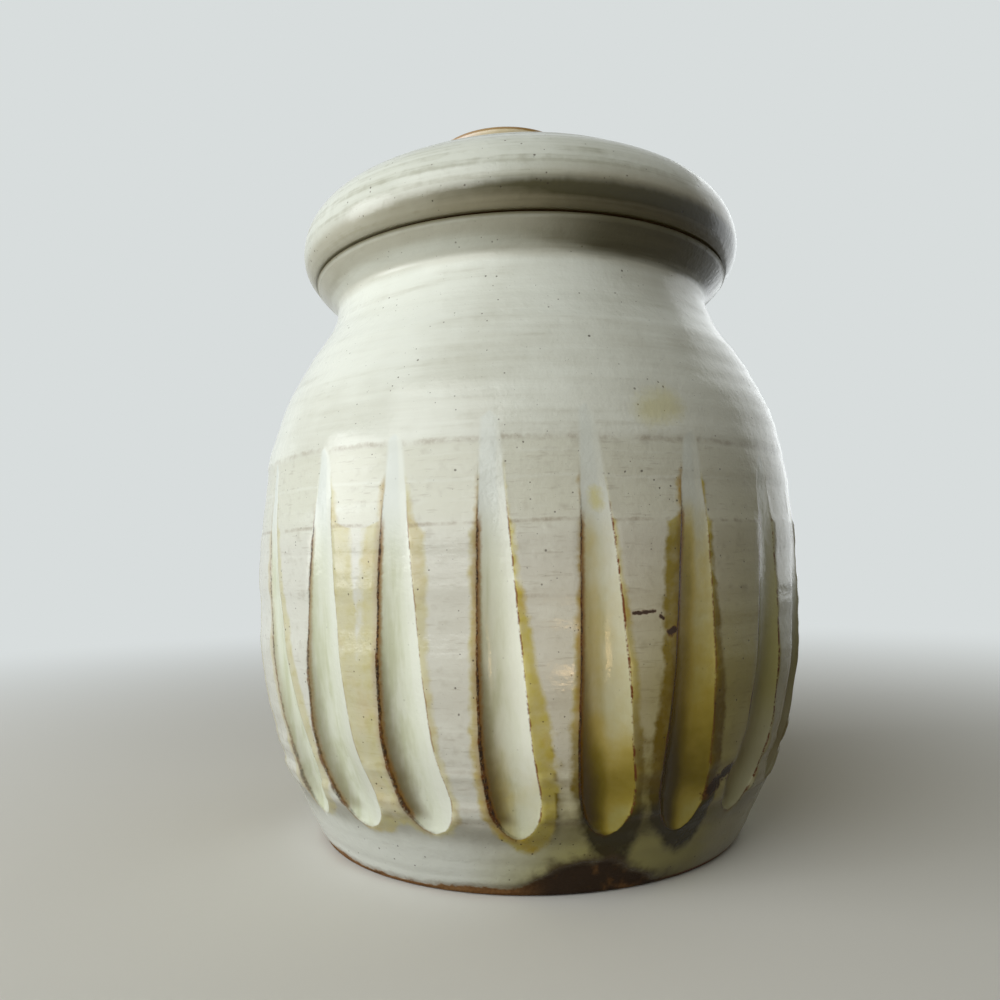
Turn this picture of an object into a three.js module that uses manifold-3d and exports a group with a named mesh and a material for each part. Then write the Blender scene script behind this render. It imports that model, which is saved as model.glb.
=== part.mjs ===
// A lidded stoneware honey pot: a thrown jar with carved flutes, a domed lid and a button knob.
// Millimetres, +Z up, origin at the centre of the foot, front of the pot towards -Y.
import * as THREE from 'three';
import { mergeVertices } from 'three/addons/utils/BufferGeometryUtils.js';
import Module from 'manifold-3d';

// Jar, outside
const footRadius = 44;
const footRound = 0.9;
const footRingWidth = 6;
const footRecess = 2.5;
const footSpread = 0.55; // how fast the wall opens above the foot, radius per height
const bellyRadius = 57.5;
const bellyHeight = 50; // the widest point
const shoulderRise = 49.3; // from the widest point to where the shoulder turns to the neck
const shoulderOverhang = 5; // radius there beyond the neck
const shoulderSlope = 0.68; // how fast the shoulder closes, radius per height
const neckRadius = 41;
const neckRise = 12.4; // from the turn of the shoulder to the narrowest point
const collarRise = 5.3; // from the narrowest point to the rim
const collarFlare = 4.6; // radius of the collar beyond the neck
const rimRound = 0.9;

// Jar, inside
const wall = 5;
const floorThickness = 6;
const floorCorner = 4;

// Carved flutes
const fluteCount = 21;
const fluteBearing = 12.8; // degrees from the front, towards +X
const fluteBottom = 10.5;
const fluteLength = 70;
const fluteWidth = 10.6;
const fluteDepth = 1.8;
const fluteEnd = 7; // length of the round lower end
const fluteTip = 0.8; // width left at the pointed top
const fluteTaper = 0.6; // power of the narrowing

// Lid
const seatGap = 0.3; // between the rim of the jar and the lid
const lidOverhang = 2.8; // beyond the collar
const lidEdgeRise = 5.4; // from the seat to the widest point of the edge
const lidUnderRound = 3.6; // reach of the rounding under the edge
const lidEdgeRound = 10.8; // radius of the rounding over the edge
const lidEdgeTurn = 54; // degrees of that rounding
const lidHeight = 24.6; // from the seat to the flat under the knob
const lidWall = 5.2;
const flangeDepth = 7;
const flangeThickness = 4;
const flangeClearance = 1; // from the flange to the mouth

// Knob
const knobRadius = 16.2;
const knobStemRadius = 11.5;
const knobHeight = 6.5;
const knobRim = 2.2; // height of the rim at the top
const knobDish = 0.8;
const knobOffset = 3.2; // off the axis of the lid, towards -X
const knobJoint = 0.3; // slip joint under the knob
const landingMargin = 2; // flat left around the stem

// Facets
const stepsPerFlute = 5;
const cavitySegments = 42;
const lidSegments = 48;
const knobSegments = 28;

// Derived heights and radii
const shoulderRadius = neckRadius + shoulderOverhang;
const shoulderHeight = bellyHeight + shoulderRise;
const neckHeight = shoulderHeight + neckRise;
const jarHeight = neckHeight + collarRise;
const collarRadius = neckRadius + collarFlare;
const mouthRadius = neckRadius - wall;
const floorHeight = footRecess + floorThickness;
const lidSeat = jarHeight + seatGap;
const lidRadius = collarRadius + lidOverhang;
const lidTop = lidSeat + lidHeight;
const landingRadius = knobStemRadius + knobOffset + landingMargin;

const wasm = await Module();
wasm.setup();

const point = (radius, height) => new THREE.Vector2(radius, height);

function bezier(start, startPull, endPull, end, steps) {
  return new THREE.CubicBezierCurve(start, startPull, endPull, end).getPoints(steps);
}

function arc(centreRadius, centreHeight, reach, rise, fromDegrees, toDegrees, steps) {
  const from = THREE.MathUtils.degToRad(fromDegrees);
  const to = THREE.MathUtils.degToRad(toDegrees);
  const curve = new THREE.EllipseCurve(centreRadius, centreHeight, reach, rise, from, to, to < from);
  return curve.getPoints(steps);
}

// A profile of radius and height turned about the Z axis.
function turned(profile, segments) {
  return new THREE.LatheGeometry(profile, segments).rotateX(Math.PI / 2);
}

function solidOf(geometry) {
  geometry.deleteAttribute('normal');
  geometry.deleteAttribute('uv');
  const merged = mergeVertices(geometry);
  const index = merged.index.array;
  const triangles = [];
  for (let i = 0; i < index.length; i += 3) {
    const [a, b, c] = [index[i], index[i + 1], index[i + 2]];
    if (a !== b && b !== c && c !== a) {
      triangles.push(a, b, c);
    }
  }
  const vertProperties = new Float32Array(merged.attributes.position.array);
  const triVerts = new Uint32Array(triangles);
  return new wasm.Manifold(new wasm.Mesh({ numProp: 3, vertProperties, triVerts }));
}

function geometryOf(solid) {
  const mesh = solid.getMesh();
  const geometry = new THREE.BufferGeometry();
  geometry.setAttribute('position', new THREE.BufferAttribute(new Float32Array(mesh.vertProperties), 3));
  geometry.setIndex(new THREE.BufferAttribute(new Uint32Array(mesh.triVerts), 1));
  geometry.computeVertexNormals();
  return geometry;
}

// The wall of the jar from the foot to the narrowest point of the neck, as seen in section.
function wallProfile() {
  const lowerPull = bellyHeight * 0.42;
  const bellyPullDown = bellyHeight * 0.35;
  const bellyPullUp = shoulderRise * 0.49;
  const shoulderPull = shoulderRise * 0.25;
  const turnPull = neckRise * 0.5;
  const neckPull = neckRise * 0.28;
  const foot = point(footRadius + footSpread * footRound, footRound);
  const belly = point(bellyRadius, bellyHeight);
  const turn = point(shoulderRadius, shoulderHeight);
  const neck = point(neckRadius, neckHeight);
  const lower = bezier(
    foot,
    point(foot.x + footSpread * lowerPull, foot.y + lowerPull),
    point(bellyRadius, bellyHeight - bellyPullDown),
    belly,
    11,
  );
  const upper = bezier(
    belly,
    point(bellyRadius, bellyHeight + bellyPullUp),
    point(shoulderRadius + shoulderSlope * shoulderPull, shoulderHeight - shoulderPull),
    turn,
    9,
  );
  const hollow = bezier(
    turn,
    point(shoulderRadius - shoulderSlope * turnPull, shoulderHeight + turnPull),
    point(neckRadius, neckHeight - neckPull),
    neck,
    4,
  );
  return [...lower, ...upper.slice(1), ...hollow.slice(1)];
}

function collarProfile() {
  const lipHeight = jarHeight - rimRound;
  const flare = bezier(
    point(neckRadius, neckHeight),
    point(neckRadius, neckHeight + collarRise * 0.3),
    point(neckRadius + collarFlare * 0.5, neckHeight + collarRise * 0.5),
    point(collarRadius, lipHeight),
    4,
  );
  return [...flare.slice(1), point(collarRadius - rimRound, jarHeight)];
}

// Width of a flute at a height: pointed at the top, round at the bottom.
function fluteWidthAt(height) {
  const above = height - fluteBottom;
  const along = THREE.MathUtils.clamp(above / fluteLength, 0, 1);
  const end = THREE.MathUtils.clamp(above / fluteEnd, 0, 1);
  return fluteWidth * (1 - along) ** fluteTaper * Math.sqrt(1 - (1 - end) ** 2);
}

// The columns of the turned wall follow the edges of the flutes and sink between them.
function carveFlutes(geometry, rows) {
  const position = geometry.attributes.position;
  const pitch = (2 * Math.PI) / fluteCount;
  const bearing = THREE.MathUtils.degToRad(fluteBearing);
  for (let i = 0; i < position.count; i += 1) {
    const column = Math.floor(i / rows);
    const step = column % stepsPerFlute;
    const centre = bearing + Math.floor(column / stepsPerFlute) * pitch;
    const radius = Math.hypot(position.getX(i), position.getY(i));
    const height = position.getZ(i);
    const inFlute = height > fluteBottom && height < fluteBottom + fluteLength;
    const width = Math.max(fluteWidthAt(height), fluteTip);
    const even = (stepsPerFlute - 2) / stepsPerFlute / 2;
    const halfAngle = inFlute ? width / 2 / radius : even * pitch;
    const across = (2 * step) / (stepsPerFlute - 2) - 1; // -1 and 1 at the edges
    const onLand = step === stepsPerFlute - 1;
    const angle = centre + (onLand ? pitch / 2 : across * halfAngle);
    const depth = inFlute && !onLand ? (fluteDepth * width) / fluteWidth : 0;
    const sunk = radius - depth * (1 - across ** 2);
    position.setXYZ(i, sunk * Math.sin(angle), -sunk * Math.cos(angle), height);
  }
}

// The wall profile moved inwards by the thickness of the wall, from the floor up.
function cavityProfile(outer) {
  const inner = outer.map((here, i) => {
    const before = outer[Math.max(i - 1, 0)];
    const after = outer[Math.min(i + 1, outer.length - 1)];
    const along = after.clone().sub(before).normalize();
    return point(here.x - wall * along.y, here.y + wall * along.x);
  });
  const lowest = floorHeight + floorCorner;
  const sides = inner.filter((place) => place.y > lowest && place.y < neckHeight);
  const cutAbove = jarHeight + wall;
  return [
    point(0, floorHeight),
    point(sides[0].x - floorCorner, floorHeight),
    ...sides.filter((place, i) => i % 2 === 0),
    point(mouthRadius, neckHeight),
    point(mouthRadius, cutAbove),
    point(0, cutAbove),
  ];
}

function makeJar() {
  const sides = wallProfile();
  const ringRadius = footRadius - footRingWidth;
  const profile = [
    point(0, footRecess),
    point(ringRadius - footRecess, footRecess),
    point(ringRadius, 0),
    point(footRadius - footRound, 0),
    ...sides,
    ...collarProfile(),
    point(0, jarHeight),
  ];
  const outside = turned(profile, fluteCount * stepsPerFlute);
  carveFlutes(outside, profile.length);
  const cavity = turned(cavityProfile(sides), cavitySegments);
  return geometryOf(solidOf(outside).subtract(solidOf(cavity)));
}

// The lid in section, from the middle of its underside round the flange and the edge to the top.
function makeLid() {
  const flangeOuter = mouthRadius - flangeClearance;
  const flangeInner = flangeOuter - flangeThickness;
  const ceiling = lidTop - lidWall;
  const edgeHeight = lidSeat + lidEdgeRise;
  const hollowRise = ceiling - lidSeat;
  const underside = bezier(
    point(0, ceiling),
    point(flangeInner * 0.7, ceiling),
    point(flangeInner, ceiling - hollowRise * 0.25),
    point(flangeInner, lidSeat + hollowRise * 0.25),
    6,
  );
  const underEdge = arc(lidRadius - lidUnderRound, edgeHeight, lidUnderRound, lidEdgeRise, -90, 0, 4);
  const overEdge = arc(lidRadius - lidEdgeRound, edgeHeight, lidEdgeRound, lidEdgeRound, 0, lidEdgeTurn, 4);
  const brow = overEdge[overEdge.length - 1];
  const turn = THREE.MathUtils.degToRad(lidEdgeTurn);
  const browPull = (lidTop - brow.y) * 0.9;
  const dome = bezier(
    brow,
    point(brow.x - browPull * Math.sin(turn), brow.y + browPull * Math.cos(turn)),
    point(landingRadius + (brow.x - landingRadius) * 0.3, lidTop),
    point(landingRadius, lidTop),
    6,
  );
  const profile = [
    ...underside,
    point(flangeInner, lidSeat - flangeDepth),
    point(flangeOuter, lidSeat - flangeDepth),
    point(flangeOuter, lidSeat),
    ...underEdge,
    ...overEdge.slice(1),
    ...dome.slice(1),
    point(0, lidTop),
  ];
  return turned(profile, lidSegments);
}

// The knob in section: a low stem under a wide, slightly dished button.
function makeKnob() {
  const rimBottom = knobHeight - knobRim;
  const edge = arc(knobRadius - knobRim / 2, knobHeight - knobRim / 2, knobRim / 2, knobRim / 2, -60, 90, 4);
  const stem = bezier(
    point(knobStemRadius, 0),
    point(knobStemRadius - knobRim / 2, rimBottom * 0.5),
    point(knobStemRadius, rimBottom * 0.8),
    edge[0],
    4,
  );
  const profile = [
    point(0, 0),
    ...stem,
    ...edge.slice(1),
    point(knobRadius - 2 * knobRim, knobHeight - knobDish),
    point(0, knobHeight - knobDish),
  ];
  return turned(profile, knobSegments);
}

function addPiece(group, name, geometry, color, roughness) {
  const material = new THREE.MeshStandardMaterial({ color, roughness, metalness: 0 });
  const piece = new THREE.Mesh(geometry, material);
  piece.name = name;
  group.add(piece);
  return piece;
}

const honeyPot = new THREE.Group();
addPiece(honeyPot, 'jar_body', makeJar(), 0xc9ccbe, 0.25);

const lidGroup = new THREE.Group();
addPiece(lidGroup, 'lid', makeLid(), 0xd0d2c6, 0.25);
const knob = addPiece(lidGroup, 'lid_knob', makeKnob(), 0xb08a52, 0.35);
knob.position.set(-knobOffset, 0, lidTop + knobJoint);
honeyPot.add(lidGroup);

export default honeyPot;
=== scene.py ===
import math
import random

import bpy
import numpy as np
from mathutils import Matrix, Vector


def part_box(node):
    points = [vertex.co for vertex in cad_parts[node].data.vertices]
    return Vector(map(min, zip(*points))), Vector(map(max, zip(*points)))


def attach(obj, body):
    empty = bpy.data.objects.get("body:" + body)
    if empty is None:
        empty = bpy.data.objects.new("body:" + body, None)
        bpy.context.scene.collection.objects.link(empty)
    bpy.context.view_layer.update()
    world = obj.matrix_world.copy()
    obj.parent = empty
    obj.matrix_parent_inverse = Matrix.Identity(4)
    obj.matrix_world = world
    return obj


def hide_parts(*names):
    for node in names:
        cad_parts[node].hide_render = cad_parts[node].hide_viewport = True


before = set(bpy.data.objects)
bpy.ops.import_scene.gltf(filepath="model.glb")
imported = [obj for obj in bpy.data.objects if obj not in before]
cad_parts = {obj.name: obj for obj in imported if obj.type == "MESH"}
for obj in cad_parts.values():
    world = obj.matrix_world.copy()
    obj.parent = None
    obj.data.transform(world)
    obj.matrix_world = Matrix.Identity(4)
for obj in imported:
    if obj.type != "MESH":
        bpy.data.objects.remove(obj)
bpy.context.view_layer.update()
bpy.context.scene.view_settings.view_transform = "Standard"
mm = 0.001
print("frame loaded", sorted(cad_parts))


def sizesOf(node):
    low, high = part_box(node)
    return low / mm, high / mm


jarLow, jarHigh = sizesOf("jar_body")
lidLow, lidHigh = sizesOf("lid")
knobLow, knobHigh = sizesOf("lid_knob")


# Curves for the profiles, in millimetres of radius and height

def bezier(start, startPull, endPull, end, steps, crowd=1.0):
    made = []
    for i in range(steps + 1):
        t = (i / steps) ** crowd  # above 1 crowds the rows at the start
        weights = ((1 - t) ** 3, 3 * t * (1 - t) ** 2, 3 * t * t * (1 - t), t ** 3)
        pulls = (start, startPull, endPull, end)
        made.append(tuple(sum(w * p[k] for w, p in zip(weights, pulls)) for k in (0, 1)))
    return made


def arc(centre, reach, rise, fromDegrees, toDegrees, steps):
    made = []
    for i in range(steps + 1):
        turn = math.radians(fromDegrees + (toDegrees - fromDegrees) * i / steps)
        made.append((centre[0] + reach * math.cos(turn), centre[1] + rise * math.sin(turn)))
    return made


def straight(start, end, steps):
    return bezier(start, start, end, end, steps) if steps > 3 else [start, end]


def joined(*stretches):
    made = [stretches[0][0]]
    for stretch in stretches:
        made += [here for here in stretch if math.dist(here, made[-1]) > 0.02]
    return made


def smooth(low, high, value):
    t = np.clip((value - low) / (high - low), 0, 1)
    return t * t * (3 - 2 * t)


def turnOnWheel(name, profile, columns):
    bpy.ops.object.select_all(action="DESELECT")
    bpy.ops.mesh.primitive_plane_add(size=mm, location=(0, 0, 0))
    piece = bpy.context.object
    piece.name = name
    piece.data.name = name
    bpy.ops.object.mode_set(mode="EDIT")
    bpy.ops.mesh.select_all(action="SELECT")
    bpy.ops.mesh.merge(type="CENTER")  # one point to draw the profile from
    bpy.ops.transform.translate(value=(profile[0][0] * mm, 0, profile[0][1] * mm))
    for here, there in zip(profile, profile[1:]):
        step = ((there[0] - here[0]) * mm, 0, (there[1] - here[1]) * mm)
        bpy.ops.mesh.extrude_vertices_move(TRANSFORM_OT_translate={"value": step})
    bpy.ops.mesh.select_all(action="SELECT")
    bpy.ops.mesh.spin(steps=columns, angle=2 * math.pi, center=(0, 0, 0), axis=(0, 0, 1))
    bpy.ops.mesh.select_all(action="SELECT")
    bpy.ops.mesh.remove_doubles(threshold=0.005 * mm)
    bpy.ops.mesh.normals_make_consistent(inside=False)
    bpy.ops.object.mode_set(mode="OBJECT")
    bpy.ops.object.shade_smooth()
    return piece


def pointsOf(piece):
    points = np.empty(len(piece.data.vertices) * 3)
    piece.data.vertices.foreach_get("co", points)
    return points.reshape(-1, 3) / mm


def setPoints(piece, points):
    piece.data.vertices.foreach_set("co", (points * mm).ravel())
    piece.data.update()


def markPoints(piece, name, values):
    layer = piece.data.attributes.new(name, "FLOAT", "POINT")
    layer.data.foreach_set("value", np.asarray(values, np.float32))


# Jar: foot, belly, shoulder, neck, collar and the hollow inside

jar = {
    "footRadius": 44.0,
    "footRound": 0.9,
    "footRing": 6.0,
    "footRecess": 2.5,
    "footSpread": 0.55,
    "bellyRadius": jarHigh.x,
    "bellyHeight": 50.0,
    "shoulderRadius": 46.0,
    "shoulderHeight": 99.3,
    "shoulderSlope": 0.68,
    "neckRadius": 41.0,
    "neckHeight": 111.7,
    "collarRadius": 45.6,
    "height": jarHigh.z,
    "rimRound": 0.5,
    "wall": 5.0,
    "mouthRound": 1.2,
    "floorHeight": 8.5,
    "floorCorner": 9.0,
    "floorSweep": 15.0,  # how far the inside curves in to the floor
    "columnsAcross": 12,  # over one flute
    "columnsBetween": 7,  # over the land beside it
    "glazeThickness": 0.4,
    "leastHalf": 0.33,  # a flute's half width never falls below this
    "wobble": 0.22,
    "coatHeight": 75.6,  # the thick glaze of the shoulder ends here
    "creaseHeight": 111.6,
    "flareFrom": 112.4,  # the collar's flare takes the painted shade between these heights
    "flareTo": 114.8,
}

flute = {
    "count": 21,
    "bearing": 12.8,  # degrees from the front, towards +X
    "widest": 20.0,  # height where a flute is widest
    "depth": 1.7,
    "tipFlush": 6.0,  # length below the tip that stays flush with the land
    "skew": 0.18,  # how far the deepest line lies left of the middle, and how much more low down
    "skewLow": 0.3,
    "fullDepth": 29.0,  # height where the full depth is reached
    "fullWidth": 9.2,  # width that is cut to the full depth
    "endLength": 7.5,
    "tipRound": 1.1,
    "haloTop": 62.3,  # height of the ledge that the yellow runs down from
    "lip": 0.06,
    "rustTop": 68.5,  # rust and tint start below this height
    "rustFade": 0.7,  # share of the rust that is gone at the lower end
    "poolTop": 36.0,  # the olive pools between these heights
    "poolFull": 17.0,
    "puddleSway": 0.65,  # how much the puddles hang to the right
    "clearEnd": 0.55,  # how much clearer the round end is on its right
    "seed": 11,
}

# Flutes seen from the front, from left to right: bearings in degrees, heights and reaches in mm
fluteWords = ("tip", "tipHeight", "tipHalf", "left", "leftBow", "right", "rightBow", "end", "endHeight",
              "leftGlow", "leftTop", "leftReach", "rightGlow", "rightTop", "rightReach", "puddle",
              "leftRust", "rightRust", "pool", "tint")
frontFlutes = {
    -4: (-58.0, 75, 0.8, -54.0, 1.0, -44.5, 1.0, -50.2, 10.3,
         0.4, 1.0, 2.0, 0.45, 2.0, 3.0, 0.3, 0.65, 0.2, 0.0, 0.0),
    -3: (-38.4, 76, 0.9, -43.6, 1.3, -31.6, 0.65, -34.3, 10.7,
         0.15, 0.3, 0.6, 0.5, 4.6, 4.6, 0.4, 0.8, 0.3, 0.05, 0.0),
    -2: (-22.2, 77, 1.1, -26.0, 0.9, -15.6, 0.75, -18.4, 11.5,
         0.55, 3.4, 3.4, 0.5, 2.6, 1.0, 1.0, 0.95, 0.45, 0.1, 0.0),
    -1: (-5.4, 80, 1.35, -8.1, 0.6, 1.1, 1.0, -2.3, 11.3,
         0.7, 1.2, 1.4, 0.95, 0.7, 3.2, 2.2, 1.0, 0.7, 0.25, 0.03),
    0: (10.6, 81, 1.05, 7.9, 0.7, 17.7, 0.85, 13.9, 11.5,
        0.85, 0.6, 1.5, 0.8, 0.6, 1.8, 5.2, 1.0, 0.95, 0.9, 0.26),
    1: (30.3, 77, 1.0, 22.9, 0.55, 33.2, 1.5, 29.1, 10.5,
        1.0, 3.1, 2.7, 1.0, 0.9, 2.6, 3.8, 1.3, 0.6, 0.9, 0.58),
    2: (49.6, 74, 0.9, 41.6, 0.65, 52.6, 1.5, 44.0, 11.5,
        0.2, 0.4, 0.6, 0.3, 0.4, 0.8, 0.5, 1.1, 1.0, 0.1, 0.06),
    3: (66.0, 74, 0.9, 57.0, 0.7, 67.5, 1.3, 60.0, 14.0,
        0.3, 1.0, 2.0, 0.3, 1.0, 2.0, 0.5, 0.6, 0.3, 0.2, 0.08),
}

fluteRanges = (  # for the other flutes, bearings from the middle: word, least, most
    ("tip", -1.5, 1.5), ("tipHeight", 74, 80), ("tipHalf", 0.8, 1.3),
    ("left", -5.6, -4.4), ("leftBow", 0.6, 1.2), ("right", 4.4, 5.8), ("rightBow", 0.65, 1.3),
    ("end", -1, 1.5), ("endHeight", 10, 12),
    ("leftTop", 0.6, 2.8), ("leftReach", 1.0, 3.2),
    ("rightGlow", 0.6, 1.0), ("rightTop", 0.6, 2.8), ("rightReach", 1.2, 3.6), ("puddle", 0.4, 4.0),
    ("leftRust", 0.6, 1.0), ("rightRust", 0.3, 0.8), ("pool", 0.0, 0.8), ("tint", 0.0, 0.4),
)

ledges = (  # height, rise of the step, run of the step
    (75.6, 0.28, 1.3),
    (69.0, 0.16, 0.9),
    (62.0, -0.26, 0.9),
    (50.7, 0.14, 1.2),
    (42.5, -0.12, 1.6),
    (33.0, 0.1, 1.5),
    (23.3, -0.34, 0.9),
    (20.8, 0.3, 0.8),
    (17.6, -0.42, 0.9),
    (14.0, 0.5, 1.0),
)


def wallCurve():
    pull = 0.42 * jar["bellyHeight"]
    foot = (jar["footRadius"] + jar["footSpread"] * jar["footRound"], jar["footRound"])
    belly = (jar["bellyRadius"], jar["bellyHeight"])
    turn = (jar["shoulderRadius"], jar["shoulderHeight"])
    neck = (jar["neckRadius"], jar["neckHeight"])
    rise = turn[1] - belly[1]
    neckRise = neck[1] - turn[1]
    slope = jar["shoulderSlope"]
    lower = bezier(foot, (foot[0] + jar["footSpread"] * pull, foot[1] + pull),
                   (belly[0], belly[1] * 0.65), belly, 70, 1.2)
    upper = bezier(belly, (belly[0], belly[1] + 0.49 * rise),
                   (turn[0] + slope * 0.25 * rise, turn[1] - 0.25 * rise), turn, 56)
    hollow = bezier(turn, (turn[0] - slope * 0.5 * neckRise, turn[1] + 0.5 * neckRise),
                    (neck[0], neck[1] - 0.28 * neckRise), neck, 15)
    return joined(lower, upper, hollow)


def collarCurve():
    neck = (jar["neckRadius"], jar["neckHeight"])
    lip = jar["height"] - jar["rimRound"]
    rise = jar["height"] - neck[1]
    flare = bezier(neck, (neck[0] + 0.8, neck[1] + 0.25 * rise),
                   ((neck[0] + jar["collarRadius"]) / 2 + 0.6, neck[1] + 0.5 * rise),
                   (jar["collarRadius"], lip), 9)
    return flare + arc((jar["collarRadius"] - jar["rimRound"], lip), jar["rimRound"], jar["rimRound"],
                       0, 90, 4)[1:]


def hollowCurve(wallLine):
    moved = []
    for before, here, after in zip(wallLine, wallLine[1:], wallLine[2:]):
        along = math.dist(before, after)
        moved.append((here[0] - jar["wall"] * (after[1] - before[1]) / along,
                      here[1] + jar["wall"] * (after[0] - before[0]) / along))
    mouth = jar["neckRadius"] - jar["wall"]
    corner = jar["floorHeight"] + jar["floorCorner"]
    sides = [here for here in moved if corner < here[1] < jar["neckHeight"] - 3][::-6]
    bend = jar["mouthRound"]
    top = jar["height"]
    seat = straight((jar["collarRadius"] - jar["rimRound"], top), (mouth + bend, top), 6)
    lip = arc((mouth + bend, top - bend), bend, bend, 90, 180, 4)
    low = sides[-1]
    sweep = jar["floorSweep"]
    turn = bezier(low, (low[0] - 0.2 * sweep, low[1] - 0.4 * sweep),
                  (low[0] - 0.4 * sweep, jar["floorHeight"]), (low[0] - sweep, jar["floorHeight"]), 8)
    floor = straight(turn[-1], (0, jar["floorHeight"]), 5)
    return joined(seat, lip, [(mouth, jar["neckHeight"])], sides, turn, floor)


def underCurve():
    ring = jar["footRadius"] - jar["footRing"]
    middle = straight((0, jar["footRecess"]), (ring - 4.0, jar["footRecess"]), 6)
    step = bezier((ring - 4.0, jar["footRecess"]), (ring - 2.0, jar["footRecess"]), (ring - 1.5, 0.4),
                  (ring + 0.6, 0.0), 5)
    ball = bezier((jar["footRadius"] - jar["footRound"], 0), (jar["footRadius"] - 0.2, 0),
                  (jar["footRadius"] + 0.2, 0.3),
                  (jar["footRadius"] + jar["footSpread"] * jar["footRound"], jar["footRound"]), 4)
    return joined(middle, step, ball)


def allFlutes():
    pitch = 360 / flute["count"]
    chance = random.Random(flute["seed"])
    rows = []
    for i in range(flute["count"]):
        number = i if i <= flute["count"] // 2 else i - flute["count"]
        centre = flute["bearing"] + pitch * number
        if number in frontFlutes:
            row = dict(zip(fluteWords, frontFlutes[number]))
            for word in ("tip", "left", "right", "end"):
                row[word] -= centre
        else:
            glow = chance.choice((0.25, 0.5, 0.9))
            row = {word: chance.uniform(least, most) for word, least, most in fluteRanges}
            for word in ("rightGlow", "puddle", "pool", "tint"):
                row[word] *= glow
            row["leftGlow"] = glow
        rows.append(row)
    return {word: np.array([row[word] for row in rows]) for word in fluteWords}


def fluteOutline(rows, number, height):
    row = {word: rows[word][number % flute["count"]] for word in fluteWords}
    pitch = 360 / flute["count"]
    nominal = flute["bearing"] + pitch * number
    fall = np.clip((row["tipHeight"] - height) / (row["tipHeight"] - flute["widest"]), 0, 1)
    tipHalf = np.degrees(row["tipHalf"] / jar["bellyRadius"])
    left = row["tip"] - tipHalf + (row["left"] - row["tip"] + tipHalf) * fall ** row["leftBow"]
    right = row["tip"] + tipHalf + (row["right"] - row["tip"] - tipHalf) * fall ** row["rightBow"]
    blunt = np.clip((row["tipHeight"] - height) / flute["tipRound"], 0.02, 1)
    endTop = row["endHeight"] + flute["endLength"]
    into = (endTop - height) / flute["endLength"]  # 0 where the round end starts, 1 at its bottom
    drift = smooth(-1.2, 1, into)
    centre = nominal + (left + right) / 2 * (1 - drift) + row["end"] * drift
    return row, centre, (right - left) / 2 * np.sqrt(1 - (1 - blunt) ** 2), into


def fluteDistance(row, centre, half, into, bearing, height, radius):
    across = np.radians(bearing - centre) * radius
    wide = np.maximum(np.radians(half) * radius, jar["leastHalf"])
    sideways = np.abs(across) / wide
    down = np.maximum(into, 0)
    reach = np.hypot(sideways, down)
    share = down ** 2 / np.maximum(reach ** 2, 1e-9)
    inside = (1 - reach) * (wide * (1 - share) + flute["endLength"] * share)
    above = np.maximum(height - row["tipHeight"], 0)
    return np.where(above > 0, -np.hypot(np.maximum(np.abs(across) - wide, 0), above), inside)


def glazeLine(bearing):
    turn = np.radians(bearing)
    wave = 1.6 + 0.35 * np.sin(3 * turn + 0.6) + 0.25 * np.sin(7 * turn + 2) + 0.15 * np.sin(19 * turn)
    wave *= 1 - 0.9 * smooth(24, 30, bearing) * (1 - smooth(75, 100, bearing))
    bareness = smooth(-6, 12, bearing) * (1 - smooth(15, 28, bearing))
    behind = smooth(118, 135, bearing) * (1 - smooth(150, 172, bearing))
    return wave + 4.6 * bareness + 2.2 * behind


def fluteSpan(row, half, into, height, wall):  # narrowing of the round end, way off the flute, half width
    squeeze = np.sqrt(np.clip(1 - np.maximum(into, 0) ** 2, 0, 1))
    away = smooth(0, 9, height - row["tipHeight"]) + smooth(0, 6, row["endHeight"] - height)
    pitch = 360 / flute["count"]
    even = (jar["columnsAcross"] - 1) / (jar["columnsAcross"] + jar["columnsBetween"]) / 2 * pitch
    least = np.degrees(jar["leastHalf"] / np.maximum(wall, 1))
    return squeeze, away, np.maximum(half * squeeze, least) * (1 - away) + even * away


def haloOf(outline, edge, turned, grow, fall):  # the yellow's reach past the edge, and its strength
    row, middle, half, into = outline
    aside = (turned - middle) / np.maximum(half, 1)
    side = smooth(-0.5, 0.5, aside)
    down = np.maximum(into, 0) ** 2
    low = down / np.maximum(aside ** 2 + down, 1e-6)
    reach = {}
    for word in ("left", "right"):
        reach[word] = (row[word + "Top"] * (1 - fall) + row[word + "Reach"] * fall) * grow
    reach = reach["left"] * (1 - side) + reach["right"] * side
    glow = row["leftGlow"] * (1 - side) + row["rightGlow"] * side
    glow = glow * (1 - low) + np.maximum(row["leftGlow"], row["rightGlow"]) * low
    sway = 1 + flute["puddleSway"] * np.clip(aside, -1, 1)
    return reach * (1 - low) + row["puddle"] * sway * low + edge, glow


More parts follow.
